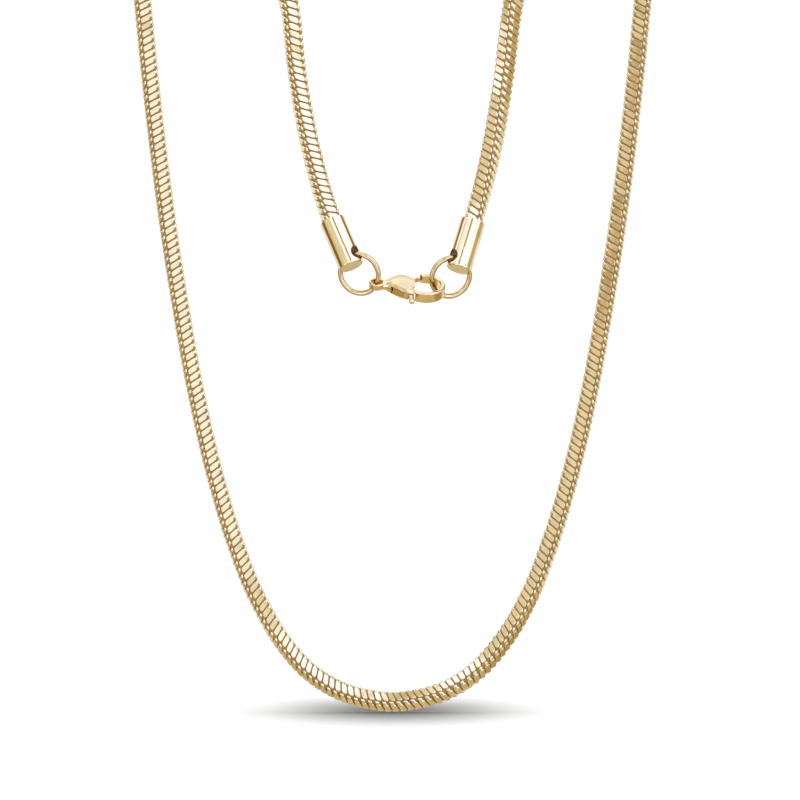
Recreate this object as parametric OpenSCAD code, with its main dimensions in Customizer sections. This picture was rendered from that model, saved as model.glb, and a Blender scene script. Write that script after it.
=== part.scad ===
// Square snake chain necklace with end caps, jump rings and a lobster clasp.
// It keeps the form in which it hangs on a neck. Millimetres, +Z up, +Y to the front of the wearer.
// The origin is the middle of the neck, at the height where the chain goes over it.

/* [Loop] */
// Width of the hanging loop, between the middles of its two strands
loop_w = 87.2; // [80:0.4:96]
// Drop of the loop's lowest point below the height where the chain goes over the neck
loop_drop = 142.6; // [125:0.2:165]
// How far the loop's front hangs before the middle of the neck
loop_front = 33; // [28:0.5:40]

/* [Chain] */
// Width of the chain across its flats
chain_w = 3.15; // [2.6:0.05:3.6]
// How much of each corner of the chain's section is rounded away
chain_corner = 0.6; // [0.4:0.05:0.8]
// Length of chain that each end cap holds
chain_in_cap = 4.8; // [3:0.1:5.2]

/* [End caps] */
// Length of an end cap
cap_len = 8.6; // [8:0.1:10]
// Wall of an end cap
cap_wall = 0.2; // [0.2:0.02:0.3]
// Floor that closes an end cap's lower end
cap_floor = 0.3; // [0.2:0.05:0.3]
// Gap between the chain's corners and the cap's bore
cap_gap = 0.05; // [0.03:0.01:0.1]
// Chamfer round the closed end
cap_chamfer = 0.12; // [0.05:0.01:0.18]
// Diameter of the hole across an end cap
cap_hole_d = 2.5; // [2.5:0.05:2.6]
// Height of that hole's middle above the closed end
cap_hole_up = 1.6; // [1.6:0.05:1.7]

/* [Jump rings] */
// Outside diameter of a jump ring
ring_d = 7.5; // [7.5:0.1:8]
// Diameter of its wire
ring_wire = 0.9; // [0.8:0.05:0.9]

/* [Clasp] */
// Length of the clasp over its eye and its hook
clasp_len = 12.5; // [12.2:0.1:13.5]
// Outside radius of the hook's bend
hook_r = 3.3; // [3.2:0.05:3.5]
// Thickness of the hook's band, measured across the bend
hook_band = 0.8; // [0.7:0.05:0.9]
// Width of the hook's band, measured through the clasp
hook_t = 1.8; // [1.6:0.05:2.1]
// Outside radius of the eye
eye_r = 1.25; // [1.2:0.05:1.4]
// Thickness of the eye's band
eye_band = 0.45; // [0.4:0.05:0.5]
// Width of the eye's band, measured through the clasp
eye_t = 1.1; // [0.9:0.05:1.3]
// Length of the straight stretch of the eye's hole
eye_slot = 0.75; // [0.6:0.05:1]
// Thickness of the clasp's body at its widest
body_t = 2.4; // [2.3:0.05:2.8]
// Thickness of the lever
lever_t = 0.9; // [0.8:0.05:1]
// Diameter of the lever's rivet
pin_d = 0.6; // [0.5:0.05:0.7]
// Diameter of the ball on the lever's tail
ball_d = 0.95; // [0.8:0.05:1.1]
// How far the ball's middle stands out past the hook's outside
ball_out = 1.1; // [0.9:0.05:1.4]

/* [Hidden] */
GOLD = [0.86, 0.69, 0.38];

// Clearances: the lever in its slot, the lever on its rivet, and the rivet's ends in the body
slot_gap = 0.1;
pin_gap = 0.03;
pin_seat_gap = 0.02;

// Lie of the clasp: its middle, the lean of its flat side and its fall to the right
CLASP_AT = [2.4, -33.2, -72.5];
CLASP_LEAN = 33;
CLASP_FALL = 4.4;

// Lie of the rings. Each stands up, turned a little to the side and tilted. The eye and the hook
// hold the wire at one angle round the ring, and the cap's hole lies near the wire at another.
LEFT_RING = [90 + 16, 0, -20.2];
RIGHT_RING = [90 + 18.6, 0, 21];
// Where the wire crosses the clasp's middle plane: angle round the ring and distance off the clasp's axis
LEFT_SEAT = [-31.6, 0.13];
RIGHT_SEAT = [207.7, 0.87];
// For each cap: angle round the ring, distance inwards from the wire's middle, and offset off its plane
LEFT_HOLD = [121, 0.14, 0.25];
RIGHT_HOLD = [64.5, 0.11, 0.37];

// Lie of the caps: lean towards the viewer and lean to the side, and the way that the hole faces
LEFT_CAP = [-17.5, -23, 0];
RIGHT_CAP = [-17.5, 16.9, 0];
LEFT_HOLE_TURN = 60;
RIGHT_HOLE_TURN = -60;

ring_r = (ring_d - ring_wire) / 2;
cap_bore_r = norm([chain_w / 2, chain_w / 2 - chain_corner]) + cap_gap;
cap_r = cap_bore_r + cap_wall;
hook_mid_r = hook_r - hook_band / 2;
hook_x = clasp_len - eye_r - hook_r;
eye_mid_r = eye_r - eye_band / 2;
// The wire's place in the eye's hole and in the hook's bend, along the clasp
eye_seat = ring_wire / 2 + eye_band - eye_r + 0.35;
hook_seat = hook_x + hook_r - hook_band - ring_wire / 2 - 0.8;

// Places worked out from the clasp outwards, so that a change of one size carries the rest along
function turn_x(p, a) = [p[0], p[1] * cos(a) - p[2] * sin(a), p[1] * sin(a) + p[2] * cos(a)];
function turn_y(p, a) = [p[0] * cos(a) + p[2] * sin(a), p[1], -p[0] * sin(a) + p[2] * cos(a)];
function turn_z(p, a) = [p[0] * cos(a) - p[1] * sin(a), p[0] * sin(a) + p[1] * cos(a), p[2]];
function turned(p, a) = turn_z(turn_y(turn_x(p, a[0]), a[1]), a[2]);
function round_ring(a, r, off) = [r * cos(a), r * sin(a), off];

CLASP_TURN = [CLASP_LEAN, CLASP_FALL, 0];
eye_at = CLASP_AT - turned([clasp_len / 2 - eye_r, 0, 0], CLASP_TURN);
left_ring_at = eye_at + turned([eye_seat, LEFT_SEAT[1], 0], CLASP_TURN)
    - turned(round_ring(LEFT_SEAT[0], ring_r, 0), LEFT_RING);
right_ring_at = eye_at + turned([hook_seat, RIGHT_SEAT[1], 0], CLASP_TURN)
    - turned(round_ring(RIGHT_SEAT[0], ring_r, 0), RIGHT_RING);
left_hole_at = left_ring_at
    + turned(round_ring(LEFT_HOLD[0], ring_r - LEFT_HOLD[1], LEFT_HOLD[2]), LEFT_RING);
right_hole_at = right_ring_at
    + turned(round_ring(RIGHT_HOLD[0], ring_r - RIGHT_HOLD[1], RIGHT_HOLD[2]), RIGHT_RING);
function in_cap(hole_at, lean, up) = hole_at + turned([0, 0, up - cap_hole_up], lean);

// Route of the chain's centre line, chosen by hand. Each row is across, to the front, up, and the
// angle from the loop's inside to the chain's first flat side. The rows are written for this width, drop
// and front, and are stretched to the loop's own.
ROWS_W = 87.2;
ROWS_DROP = 142.6;
ROWS_FRONT = 33;
LEFT_END_TURN = 126;
RIGHT_END_TURN = 28;
LEFT_BACK = [[-12.9, -28.3, -51.7, 126], [-15.5, -26.2, -38.5, 126], [-17.1, -24.5, -25.3, 126]];
LEFT_ARCH = [[-21.5, -21, -12.5, 118], [-28.8, -10.6, -2.5, 101], [-36, 3.6, 1.5, 82],
             [-41.3, 18, -1.2, 60], [-43.6, 29, -10, 44]];
// Half of the front loop: across, up, and the flat's angle on the left and on the right
FRONT = [[42.8, -22.5, 43, 38], [42.1, -30, 42.5, 38], [40.5, -45, 42, 37], [38.6, -60, 42, 37],
         [36.3, -75, 42, 37], [33.6, -90, 41.5, 37], [30.1, -105, 41.5, 37], [27.1, -115, 42, 34],
         [23.1, -125, 43, 30], [19, -132, 43, 25.5], [14.1, -137.5, 42.5, 20], [9, -140.7, 40.5, 21.5],
         [4.4, -142.1, 35, 22.5]];
FRONT_LOW = [0, ROWS_FRONT, -142.6, 27];
RIGHT_ARCH = [[43.6, 29, -10, 45], [41.5, 18, -1.2, 52], [36.6, 3.6, 1.5, 60],
              [30.3, -10.6, -2.5, 66], [23.9, -21, -12.5, 70]];
RIGHT_BACK = [[20, -24.5, -25.3, 70], [18.2, -26.2, -38.5, 63], [15.9, -28.3, -51.7, 46]];
LOOP_MID = [1.5, 2, -68];

function with_turn(p, a) = [p[0], p[1], p[2], a];
function stretched(p) = [p[0] * loop_w / ROWS_W, p[1] > 0 ? p[1] * loop_front / ROWS_FRONT : p[1],
                         p[2] < -20 ? p[2] * loop_drop / ROWS_DROP : p[2], p[3]];
chain_end_up = cap_len - chain_in_cap;
LOOP = concat(
    LEFT_ARCH,
    [for (p = FRONT) [-p[0], ROWS_FRONT, p[1], p[2]]],
    [FRONT_LOW],
    [for (i = [len(FRONT) - 1 : -1 : 0]) [FRONT[i][0], ROWS_FRONT, FRONT[i][1], FRONT[i][3]]],
    RIGHT_ARCH);
ROUTE = concat(
    [with_turn(in_cap(left_hole_at, LEFT_CAP, chain_end_up), LEFT_END_TURN),
     with_turn(in_cap(left_hole_at, LEFT_CAP, cap_len), LEFT_END_TURN)],
    LEFT_BACK, [for (p = LOOP) stretched(p)], RIGHT_BACK,
    [with_turn(in_cap(right_hole_at, RIGHT_CAP, cap_len), RIGHT_END_TURN),
     with_turn(in_cap(right_hole_at, RIGHT_CAP, chain_end_up), RIGHT_END_TURN)]);

// Smooth curve through the rows: each stretch is a cubic whose end slopes weigh the two chords that
// meet there by their lengths. The chain's ends run straight.
function at(i) = [ROUTE[i][0], ROUTE[i][1], ROUTE[i][2]];
function unit(v) = v / norm(v);
last_row = len(ROUTE) - 1;
function chord(i) = norm(at(i + 1) - at(i));
function slope(i) = i == 0 ? unit(at(1) - at(0)) : i == last_row ? unit(at(i) - at(i - 1))
    : ((at(i + 1) - at(i)) / chord(i) * chord(i - 1) + (at(i) - at(i - 1)) / chord(i - 1) * chord(i))
      / (chord(i) + chord(i - 1));
function curve(i, t) = let(d = chord(i))
    at(i) * (2 * t^3 - 3 * t^2 + 1) + slope(i) * d * (t^3 - 2 * t^2 + t)
    + at(i + 1) * (3 * t^2 - 2 * t^3) + slope(i + 1) * d * (t^3 - t^2);
function heading(i, t) = let(d = chord(i))
    unit(at(i) * (6 * t^2 - 6 * t) / d + slope(i) * (3 * t^2 - 4 * t + 1)
         + at(i + 1) * (6 * t - 6 * t^2) / d + slope(i + 1) * (3 * t^2 - 2 * t));
function inwards(p, along) = let(v = LOOP_MID - p) unit(v - (v * along) * along);

ring_step = 7.2;
// One ring of the tube: a square with its corners cut, turned by the row's angle
function flat_corners() = let(h = chain_w / 2, f = chain_w / 2 - chain_corner)
    [[h, -f], [h, f], [f, h], [-f, h], [-h, f], [-h, -f], [-f, -h], [f, -h]];
function section(i, t) = let(p = curve(i, t), along = heading(i, t), u = inwards(p, along),
                             s = cross(along, u), a = ROUTE[i][3] * (1 - t) + ROUTE[i + 1][3] * t)
    [for (c = flat_corners()) p + u * (c[0] * cos(a) - c[1] * sin(a)) + s * (c[0] * sin(a) + c[1] * cos(a))];
TUBE = concat(
    [for (i = [0 : last_row - 1]) let(n = max(1, round(chord(i) / ring_step))) for (j = [0 : n - 1])
        section(i, j / n)],
    [section(last_row - 1, 1)]);

module snake_chain() {
    k = 8;
    m = len(TUBE);
    sides = [for (r = [0 : m - 2]) for (c = [0 : k - 1]) let(d = (c + 1) % k)
        each [[r * k + c, (r + 1) * k + c, r * k + d], [r * k + d, (r + 1) * k + c, (r + 1) * k + d]]];
    start = [for (c = [0 : k - 1]) c];
    end = [for (c = [k - 1 : -1 : 0]) (m - 1) * k + c];
    color(GOLD) polyhedron([for (ring = TUBE) each ring], concat(sides, [start, end]));
}

// An end cap standing on its closed end. Its hole runs across it, turned about its own axis
module end_cap(hole_turn) {
    color(GOLD) difference() {
        rotate_extrude($fn = 64)
            polygon([[0, 0], [cap_r - cap_chamfer, 0], [cap_r, cap_chamfer], [cap_r, cap_len],
                     [cap_bore_r, cap_len], [cap_bore_r, cap_floor], [0, cap_floor]]);
        translate([0, 0, cap_hole_up])
            rotate([0, 0, hole_turn])
                rotate([90, 0, 0])
                    cylinder(h = 3 * cap_r, d = cap_hole_d, center = true, $fn = 48);
    }
}

module end_cap_left() {
    translate(in_cap(left_hole_at, LEFT_CAP, 0)) rotate(LEFT_CAP) end_cap(LEFT_HOLE_TURN);
}

module end_cap_right() {
    translate(in_cap(right_hole_at, RIGHT_CAP, 0)) rotate(RIGHT_CAP) end_cap(RIGHT_HOLE_TURN);
}

module jump_ring() {
    color(GOLD) rotate_extrude($fn = 64) translate([ring_r, 0]) circle(d = ring_wire, $fn = 24);
}

module jump_ring_left() {
    translate(left_ring_at) rotate(LEFT_RING) jump_ring();
}

module jump_ring_right() {
    translate(right_ring_at) rotate(RIGHT_RING) jump_ring();
}

// The clasp lies along X from its eye, with +Y to the gate's side and Z through it

// Body stations: distance along the body, half widths on the ball's and the gate's side, half thickness.
// Along is a share of the body's length, widths are shares of the hook's radius and of body_t / 2.
BODY = [[0.00, 0.24, 0.24, 0.44], [0.10, 0.30, 0.30, 0.50], [0.20, 0.37, 0.42, 0.66],
        [0.32, 0.47, 0.58, 0.84], [0.45, 0.60, 0.71, 0.96], [0.58, 0.73, 0.76, 1.00],
        [0.70, 0.84, 0.73, 1.00], [0.82, 0.92, 0.62, 0.97], [0.92, 0.96, 0.48, 0.90],
        [1.00, 0.96, 0.36, 0.82]];
body_x0 = eye_slot + 0.25;
body_x1 = hook_x - hook_r / 2 - 0.05;
BULGE = 0.2;
RIM = [-1, -0.62, 0, 0.62, 1];
function body_section(b) = let(x = body_x0 + (body_x1 - body_x0) * b[0], h = body_t / 2 * b[3])
    concat([for (w = RIM) [x, -hook_r * b[1] * (1 - BULGE * w^2), h * w]],
           [for (i = [4 : -1 : 0]) [x, hook_r * b[2] * (1 - BULGE * RIM[i]^2), h * RIM[i]]]);

module body_shell() {
    k = 10;
    m = len(BODY);
    sides = [for (r = [0 : m - 2]) for (c = [0 : k - 1]) let(d = (c + 1) % k)
        each [[r * k + c, r * k + d, (r + 1) * k + c], [r * k + d, (r + 1) * k + d, (r + 1) * k + c]]];
    start = [for (c = [k - 1 : -1 : 0]) c];
    end = [for (c = [0 : k - 1]) (m - 1) * k + c];
    polyhedron([for (b = BODY) each body_section(b)], concat(sides, [start, end]));
}

// Band with rounded edges: band across, width through
module band_section(band, width) {
    square([band, width - band], center = true);
    translate([0, (width - band) / 2]) circle(d = band, $fn = 64);
    translate([0, -(width - band) / 2]) circle(d = band, $fn = 64);
}

module eye() {
    rotate([0, 0, 90])
        rotate_extrude(angle = 180, $fn = 64) translate([eye_mid_r, 0]) band_section(eye_band, eye_t);
    for (side = [-1, 1])
        translate([0, side * eye_mid_r, 0])
            rotate([90, 0, 90])
                linear_extrude(body_x0 + 0.3) band_section(eye_band, eye_t);
}

// The hook's band goes from the body on the ball's side, round the end, to its tip
HOOK_FROM = -142;
HOOK_TO = 108;
module hook() {
    translate([hook_x, 0, 0])
        rotate([0, 0, HOOK_FROM])
            rotate_extrude(angle = HOOK_TO - HOOK_FROM, $fn = 128)
                translate([hook_mid_r, 0]) band_section(hook_band, hook_t);
}

// The lever turns on the rivet. Its gate is a piece of the hook's circle that closes the mouth, and
// its tail crosses the body to the ball.
pivot_x = hook_x - hook_r + 0.05;
pivot_y = 0.65;
hub_r = 0.8;
gate_from = HOOK_TO - 13;
gate_to = 158;
gate_mid = (gate_from + gate_to) / 2;
gate_band = 0.75;
gate_reach = 3.12;
ball_x = pivot_x + 1.25;
ball_y = -hook_r - ball_out;
tail_w = 0.6;
lever_open = 25;

function bar(p, q, wp, wq) = let(d = unit(q - p), n = [-d[1], d[0]])
    [p + n * wp / 2, p - n * wp / 2, q - n * wq / 2, q + n * wq / 2];

gate_root = [hook_x, 0] + hook_mid_r * [cos(gate_to - 6), sin(gate_to - 6)];
gate_side = let(d = unit(gate_root - [pivot_x, pivot_y])) [-d[1], d[0]];

module gate_outline() {
    intersection() {
        translate([hook_x, 0]) difference() {
            circle(r = hook_mid_r + gate_band / 2, $fn = 96);
            circle(r = hook_mid_r - gate_band / 2, $fn = 96);
        }
        translate([hook_x, 0])
            polygon([[0, 0], 2 * hook_r * [cos(gate_from), sin(gate_from)],
                     2 * hook_r * [cos(gate_mid), sin(gate_mid)], 2 * hook_r * [cos(gate_to), sin(gate_to)]]);
        translate([pivot_x, pivot_y]) circle(r = gate_reach, $fn = 96);
    }
    polygon(bar([pivot_x, pivot_y], gate_root, 2 * hub_r, gate_band));
}

module tail_outline() {
    polygon(bar([pivot_x, pivot_y], [ball_x, ball_y], tail_w + 0.3, tail_w - 0.1));
}

module lever_outline() {
    translate([pivot_x, pivot_y]) circle(r = hub_r, $fn = 48);
    gate_outline();
    tail_outline();
}

// Room in the body for the lever at rest, open and on the way: a flat pocket that is open to the right
function swung(p) = let(v = p - [pivot_x, pivot_y])
    [pivot_x + v[0] * cos(lever_open) + v[1] * sin(lever_open),
     pivot_y - v[0] * sin(lever_open) + v[1] * cos(lever_open)];
function over_gate(a) = [hook_x, 0] + (hook_mid_r + gate_band / 2 + slot_gap) / cos(5) * [cos(a), sin(a)];
room_x1 = body_x1 + 0.3;
gate_room_from = gate_to - 40;
LEVER_ROOM = concat(
    [[pivot_x - hub_r - slot_gap, pivot_y],
     swung([ball_x, ball_y]) - [tail_w / 2 + 3 * slot_gap, 0],
     [ball_x + tail_w / 2 + slot_gap, ball_y],
     [room_x1, -hook_r / 2],
     [room_x1, over_gate(gate_room_from)[1]]],
    [for (a = [gate_room_from : 10 : gate_to - 10]) over_gate(a)],
    [gate_root + gate_side * (gate_band / 2 + slot_gap),
     [pivot_x, pivot_y] + gate_side * (hub_r + slot_gap)]);
// What is cut from the hook's tip, so that the gate's end clears it on its way in
function about_pivot(r, a) = [pivot_x, pivot_y] + r * [cos(a), sin(a)];
TIP_ROOM = concat([for (a = [28 : 8 : 60]) about_pivot(gate_reach + slot_gap, a)],
                  [for (a = [60 : -8 : 28]) about_pivot(gate_reach - 0.6, a)]);

module clasp_body() {
    color(GOLD)
    translate(eye_at) rotate(CLASP_TURN)
        difference() {
            union() {
                body_shell();
                eye();
                hook();
            }
            translate([0, 0, -lever_t / 2 - slot_gap])
                linear_extrude(lever_t + 2 * slot_gap) polygon(LEVER_ROOM);
            translate([0, 0, -hook_t])
                linear_extrude(2 * hook_t) polygon(TIP_ROOM);
            translate([pivot_x, pivot_y, 0])
                cylinder(h = lever_t + 2 * slot_gap, r = hub_r + slot_gap, center = true, $fn = 64);
            translate([pivot_x, pivot_y, 0])
                cylinder(h = pin_len() + 2 * slot_gap, d = pin_d + 2 * pin_seat_gap, center = true, $fn = 32);
        }
}

function pin_len() = body_t - 0.6;

module clasp_pin() {
    color(GOLD)
    translate(eye_at) rotate(CLASP_TURN)
        translate([pivot_x, pivot_y, 0]) cylinder(h = pin_len(), d = pin_d, center = true, $fn = 32);
}

module clasp_lever() {
    color(GOLD)
    translate(eye_at) rotate(CLASP_TURN) {
        difference() {
            translate([0, 0, -lever_t / 2]) linear_extrude(lever_t) lever_outline();
            translate([pivot_x, pivot_y, 0])
                cylinder(h = 2 * lever_t, d = pin_d + 2 * pin_gap, center = true, $fn = 32);
        }
        translate([ball_x, ball_y, 0]) sphere(d = ball_d, $fn = 32);
    }
}

snake_chain();
end_cap_left();
end_cap_right();
jump_ring_left();
jump_ring_right();
clasp_body();
clasp_lever();
clasp_pin();
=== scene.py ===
"""Square snake chain necklace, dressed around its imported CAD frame.

Every surface is worked out with numpy in the frame's own millimetres and put into the mesh in metres.
The chain's route and the lie of caps, rings and clasp repeat the part's source.
"""

import math

import bmesh
import bpy
import numpy as np
from bpy.props import FloatProperty, FloatVectorProperty, PointerProperty
from bpy.types import Operator, Panel, PropertyGroup
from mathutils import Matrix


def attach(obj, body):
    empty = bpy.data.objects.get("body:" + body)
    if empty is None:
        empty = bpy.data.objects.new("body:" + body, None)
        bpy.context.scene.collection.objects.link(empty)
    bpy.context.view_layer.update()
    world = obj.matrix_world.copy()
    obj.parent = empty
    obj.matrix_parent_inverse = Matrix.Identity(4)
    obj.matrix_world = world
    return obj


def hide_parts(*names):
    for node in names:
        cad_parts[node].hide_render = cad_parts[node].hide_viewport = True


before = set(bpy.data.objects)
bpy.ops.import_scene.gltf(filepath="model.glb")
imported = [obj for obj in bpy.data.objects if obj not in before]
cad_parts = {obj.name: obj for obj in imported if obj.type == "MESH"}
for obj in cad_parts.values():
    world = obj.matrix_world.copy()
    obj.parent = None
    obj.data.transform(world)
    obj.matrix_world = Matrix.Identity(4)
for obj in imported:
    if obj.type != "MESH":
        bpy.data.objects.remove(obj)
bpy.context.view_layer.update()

bl_info = {
    "name": "Snake chain necklace",
    "version": (1, 0, 0),
    "blender": (4, 5, 0),
    "location": "3D View > Sidebar > Necklace",
    "description": "Builds the links, end caps, jump rings and lobster clasp of a square snake chain",
    "category": "Object",
}

MM = 0.001
BODY = "necklace"
LEVER_BODY = "lever"


# Sizes and colours that a user would change


def length_prop(name, description, millimetres):
    """Property that holds a length."""
    return FloatProperty(name=name, description=description, default=millimetres * MM, unit="LENGTH")


def colour_prop(name, description, default):
    """Property that holds a colour."""
    return FloatVectorProperty(
        name=name, description=description, default=default, subtype="COLOR", size=3, min=0, max=1
    )


class ChainSizes(PropertyGroup):
    width: length_prop("Width", "Chain width across its flats", 3.15)
    in_cap: length_prop("In cap", "Length of chain that each cap holds", 4.8)
    over_links: length_prop("Over links", "Distance between the polished faces on opposite sides", 2.94)
    pitch: length_prop("Pitch", "Distance from one link to the next", 1.21)
    slant: FloatProperty(
        name="Slant", description="Lean of the links on each flat", default=math.radians(23), subtype="ANGLE"
    )
    gap: length_prop("Gap", "Dark gap between two links", 0.1)
    flat: length_prop("Flat", "Width of the flat part of each side", 1.40)


class FindingSizes(PropertyGroup):
    cap_length: length_prop("Cap length", "Length of an end cap", 8.6)
    cap_wall: length_prop("Cap wall", "Wall of an end cap", 0.2)
    cap_edge: length_prop("Cap edge", "Rounding of a cap's closed end", 0.26)
    ring_outside: length_prop("Ring", "Outside diameter of a jump ring", 7.5)
    ring_wire: length_prop("Ring wire", "Diameter of a jump ring's wire", 0.9)


class GoldLook(PropertyGroup):
    polished: colour_prop("Polished gold", "Colour of the plating", (0.83, 0.62, 0.31))
    # The core between the links is coloured this dark gold as painted shade in the gaps
    shaded: colour_prop("Shaded gold", "Colour deep between the links", (0.36, 0.22, 0.055))
    roughness: FloatProperty(
        name="Roughness", description="Roughness of the polished plating", default=0.1, min=0, max=1
    )


class StudioLook(PropertyGroup):
    floor: colour_prop("Floor", "Colour of the floor", (0.85, 0.85, 0.85))
    room: FloatProperty(name="Room", description="Brightness of the plain room", default=0.65, min=0)
    soft_box: FloatProperty(
        name="Soft box", description="Brightness of the large soft boxes", default=1.15, min=0
    )
    dark: FloatProperty(
        name="Dark", description="Brightness of the dark gaps between the soft boxes", default=0.22, min=0
    )
    floor_drop: length_prop("Floor drop", "Depth of the floor below the neck's top", 144.5)


# Mesh and place helpers


def turned(points, angles):
    """Rows of points turned about X, then Y, then Z by the three angles in degrees."""
    ax, ay, az = np.radians(np.asarray(angles, float))
    rx = np.array([[1, 0, 0], [0, math.cos(ax), -math.sin(ax)], [0, math.sin(ax), math.cos(ax)]])
    ry = np.array([[math.cos(ay), 0, math.sin(ay)], [0, 1, 0], [-math.sin(ay), 0, math.cos(ay)]])
    rz = np.array([[math.cos(az), -math.sin(az), 0], [math.sin(az), math.cos(az), 0], [0, 0, 1]])
    return np.asarray(points, float) @ (rz @ ry @ rx).T


def at_angle(radius, degrees):
    """Flat point at a radius and an angle."""
    return np.array([radius * math.cos(math.radians(degrees)), radius * math.sin(math.radians(degrees))])


def cubic(start, end, slope_start, slope_end, t):
    """Cubic from one value to another with a slope at each end, at the share t of the way."""
    return (
        start * (2 * t**3 - 3 * t**2 + 1) + slope_start * (t**3 - 2 * t**2 + t)
        + end * (3 * t**2 - 2 * t**3) + slope_end * (t**3 - t**2)
    )


def grid_faces(rows, columns, wrap_rows=False, start=0):
    """Quads of a grid whose points are stored row by row and whose last column meets its first."""
    r, c = np.meshgrid(np.arange(rows if wrap_rows else rows - 1), np.arange(columns), indexing="ij")
    r2, c2 = (r + 1) % rows, (c + 1) % columns
    quads = np.stack([r * columns + c, r * columns + c2, r2 * columns + c2, r2 * columns + c], -1)
    return start + quads.reshape(-1, 4)


def fan_faces(centre, ring, flip=False):
    """Triangles from one point to each neighbouring pair of a closed ring of points."""
    ring = np.asarray(ring)
    after = np.roll(ring, -1)
    pair = (after, ring) if flip else (ring, after)
    return np.stack([np.full(len(ring), centre), *pair], -1)


def closed_tube(sections):
    """Points and faces of a surface through closed sections, with both ends closed by fans."""
    rows, columns, _ = sections.shape
    points = np.vstack([sections.reshape(-1, 3), sections[0].mean(0), sections[-1].mean(0)])
    n = rows * columns
    return points, [grid_faces(rows, columns), end_fans(n, columns)]


def end_fans(n, columns):
    """Triangles that close a grid of n points from two more points, one before it and one behind it."""
    first = np.arange(columns)
    return np.concatenate([fan_faces(n, first, flip=True), fan_faces(n + 1, n - columns + first)])


def mesh_from(name, points, faces, smooth=True):
    """Mesh in metres from points in millimetres and a list of equal-sided face arrays."""
    mesh = bpy.data.meshes.new(name)
    corners = np.concatenate([f.ravel() for f in faces]).astype(np.int32)
    sides = np.concatenate([np.full(len(f), f.shape[1]) for f in faces])
    mesh.vertices.add(len(points))
    mesh.vertices.foreach_set("co", (np.asarray(points) * MM).astype(np.float32).ravel())
    mesh.loops.add(len(corners))
    mesh.loops.foreach_set("vertex_index", corners)
    mesh.polygons.add(len(sides))
    mesh.polygons.foreach_set("loop_start", (np.cumsum(sides) - sides).astype(np.int32))
    mesh.polygons.foreach_set("use_smooth", np.full(len(sides), smooth))
    mesh.update(calc_edges=True)
    mesh.validate()
    return mesh


def merged(mesh, distance=1e-6):
    """Joins points that coincide and turns the faces outwards."""
    work = bmesh.new()
    work.from_mesh(mesh)
    bmesh.ops.remove_doubles(work, verts=work.verts, dist=distance)
    bmesh.ops.recalc_face_normals(work, faces=work.faces)
    work.to_mesh(mesh)
    work.free()
    return mesh


def creased(mesh, degrees):
    """Marks the edges whose faces meet at more than this angle as sharp."""
    mesh.set_sharp_from_angle(angle=math.radians(degrees))
    return mesh


def placed(name, data):
    """New object in the scene."""
    thing = bpy.data.objects.new(name, data)
    bpy.context.scene.collection.objects.link(thing)
    return thing


def piece(name, mesh, material, body=BODY, replaces=(), even=False):
    """Object of one finished mesh that rides on its body and stands for the named CAD nodes.

    Even shading lets the large faces set the normals that they share with small ones.
    """
    thing = placed(name, mesh)
    mesh.materials.clear()
    mesh.materials.append(material)
    if even:
        thing.modifiers.new("even_shading", "WEIGHTED_NORMAL").keep_sharp = True
    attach(thing, body)
    if replaces:
        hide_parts(*replaces)
    return thing


def combined(first, others, operation):
    """Boolean of closed meshes: each of the others is joined to the first or cut from it."""
    base = placed("work", first)
    tools = [placed("tool", mesh) for mesh in others]
    for tool in tools:
        cut = base.modifiers.new("cut", "BOOLEAN")
        cut.operation, cut.solver, cut.object = operation, "EXACT", tool
    bpy.context.view_layer.update()
    result = bpy.data.meshes.new_from_object(base.evaluated_get(bpy.context.evaluated_depsgraph_get()))
    for thing in [base, *tools]:
        bpy.data.objects.remove(thing)
    if not len(result.polygons):
        raise RuntimeError("a boolean of the clasp left nothing")
    return result


# Shader expressions


class Value:
    """A socket that can be used in arithmetic: each operation adds a Math node."""

    def __init__(self, look, socket):
        self.look, self.socket = look, socket

    def maths(self, operation, *others):
        return self.look.node("ShaderNodeMath", {"operation": operation}, [self, *others])

    def __add__(self, other):
        return self.maths("ADD", other)

    def __mul__(self, other):
        return self.maths("MULTIPLY", other)

    def __sub__(self, other):
        return self.maths("SUBTRACT", other)

    def __truediv__(self, other):
        return self.maths("DIVIDE", other)

    def __rsub__(self, other):
        return self.look.node("ShaderNodeMath", {"operation": "SUBTRACT"}, [other, self])

    def __neg__(self):
        return self * -1

    __radd__, __rmul__ = __add__, __mul__

    def within(self, low, high, soft):
        """1 between low and high, falling smoothly to 0 over the soft distance outside them."""
        rise = self.look.between(self, low - soft, low)
        return rise * (1 - self.look.between(self, high, high + soft))


class Look:
    """The node tree of a material or world, written by one method."""

    def __init__(self, block):
        block.use_nodes = True
        self.tree = block.node_tree
        self.tree.nodes.clear()

    def node(self, kind, settings=None, values=(), output=0):
        made = self.tree.nodes.new(kind)
        for name, setting in (settings or {}).items():
            setattr(made, name, setting)
        named = values.items() if isinstance(values, dict) else enumerate(values)
        for place, value in named:
            if isinstance(value, Value):
                self.tree.links.new(value.socket, made.inputs[place])
            else:
                made.inputs[place].default_value = value
        return Value(self, made.outputs[output])

    def between(self, value, low, high):
        """0 below low, 1 above high and a smooth step from one to the other."""
        smooth = {"interpolation_type": "SMOOTHSTEP"}
        return self.node("ShaderNodeMapRange", smooth, {"Value": value, "From Min": low, "From Max": high})

    def mix(self, factor, first, second):
        """Colour that goes from the first to the second."""
        return self.node("ShaderNodeMix", {"data_type": "RGBA"}, {0: factor, 6: first, 7: second}, output=2)

    def parts(self, vector):
        """The three numbers of a vector."""
        split = self.node("ShaderNodeSeparateXYZ", None, [vector])
        return [Value(self, socket) for socket in split.socket.node.outputs]

    def finish(self, kind, value):
        end = self.tree.nodes.new(kind)
        self.tree.links.new(value.socket, end.inputs["Surface"])


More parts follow.
